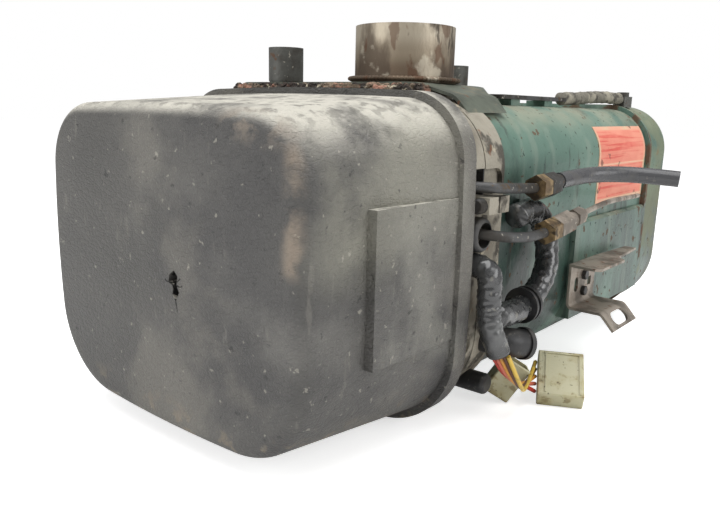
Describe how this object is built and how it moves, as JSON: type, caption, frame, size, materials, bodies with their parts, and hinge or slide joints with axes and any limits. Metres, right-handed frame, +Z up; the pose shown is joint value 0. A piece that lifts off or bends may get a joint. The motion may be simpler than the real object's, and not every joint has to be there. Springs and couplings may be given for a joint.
{
  "type": "diesel_coolant_heater",
  "caption": "Diesel coolant heater with a swing-out burner head under a moulded hood, a painted water jacket, exhaust stub, hose stubs and side mounting brackets",
  "frame": {"origin": "centre of the bounding box's bottom face, without the loose cords: on the floor under the middle of the heater", "axes": "+Y runs along the heater from the hood's face to the rear cap, +X is the side of the fuel pipes and the harness, +Z is up"},
  "size_m": [0.3488, 0.52, 0.254],
  "materials": {
    "hood_plastic": "worn black leather-grained moulding",
    "green_paint": "dark green paint, chipped and stained",
    "cast_alloy": "dull grey-beige casting, dirty",
    "exhaust_steel": "heat-tinted steel, brown and beige",
    "stub_steel": "dark oxidised steel",
    "saddle_steel": "grey-green pressed steel, dirty",
    "bracket_steel": "bare worn steel with rust at its edges",
    "zinc_brass": "yellow zinc, dirty",
    "dark_steel": "dark oiled steel",
    "black_rubber": "black rubber",
    "sleeve": "crinkled black sleeve",
    "foam": "crumbling sealing foam",
    "label": "plain red label with a cream border",
    "cream_plastic": "yellowed cream plastic, dirty",
    "wire": "red, yellow and brown insulation",
    "plain_steel": "plain steel",
    "aluminium": "machined aluminium",
    "black_case": "black moulded case"
  },
  "bodies": {
    "root": {"heater_jacket": "green_paint", "rear_end_cap": "green_paint", "front_ring": "cast_alloy", "joint_gasket": "black_rubber", "exchanger_vessel": "aluminium", "flame_tube": "plain_steel", "exhaust_stub": "exhaust_steel", "exhaust_saddle": "saddle_steel", "foam_seal": "foam", "coolant_outlet": "stub_steel", "coolant_inlet": "stub_steel", "side_rail_right": "green_paint", "side_rail_left": "green_paint", "mount_bracket_right": "bracket_steel", "mount_bracket_left": "bracket_steel", "bracket_bolts": "dark_steel", "sensor_rail": "dark_steel", "rail_clips": "green_paint", "sensor_lead": "sleeve", "temperature_sensor": "dark_steel", "support_feet": "black_rubber", "data_plate": "label", "hinge_pin": "plain_steel", "air_intake_elbow": "black_rubber", "drain_boot": "black_rubber"},
    "head": {"burner_plate": "cast_alloy", "fan_housing": "aluminium", "drive_motor": "plain_steel", "motor_bearings": "dark_steel", "fuel_pump_body": "aluminium", "fuel_pump_cover": "aluminium", "fuel_valve_block": "aluminium", "nozzle_line": "dark_steel", "nozzle_block": "cast_alloy", "fuel_nozzle": "zinc_brass", "burner_tube": "plain_steel", "ignition_coil": "black_case", "ignition_electrodes": "plain_steel", "control_unit": "black_case", "supply_pipe": "dark_steel", "return_pipe": "dark_steel", "pipe_nuts": "zinc_brass", "supply_coupling": "dark_steel", "return_coupling": "bracket_steel", "pipe_grommet": "black_rubber", "clamp_screw": "dark_steel", "harness_grommet": "black_rubber", "fuel_hose": "black_rubber", "return_line": "bracket_steel", "main_harness": "sleeve", "branch_harness": "sleeve", "plug_wires": "wire", "plug_housing": "cream_plastic", "second_connector": "cream_plastic"},
    "rotor": {"fan_impeller": "aluminium", "motor_shaft": "plain_steel", "pump_drive_gear": "dark_steel"},
    "pump_idler": {"pump_idler_gear": "dark_steel"},
    "hood": {"burner_hood": "hood_plastic", "hood_clip": "foam"}
  },
  "joints": [
    {"name": "head_hinge", "type": "hinge", "parent": "root", "child": "head", "pos_m": [-0.133, -0.106, 0.106], "axis": [0, 0, -1], "range_deg": [0, 90]},
    {"name": "rotor_spin", "type": "hinge", "parent": "head", "child": "rotor", "pos_m": [0, -0.196, 0.106], "axis": [0, 1, 0], "continuous": true},
    {"name": "idler_spin", "type": "hinge", "parent": "head", "child": "pump_idler", "pos_m": [0.018, -0.236, 0.106], "axis": [0, 1, 0], "continuous": true},
    {"name": "hood_slide", "type": "slide", "parent": "head", "child": "hood", "axis": [0, -1, 0], "range_m": [0, 0.15]}
  ],
  "couplings": [
    {"joint": "idler_spin", "follows": "rotor_spin", "ratio": -1}
  ]
}
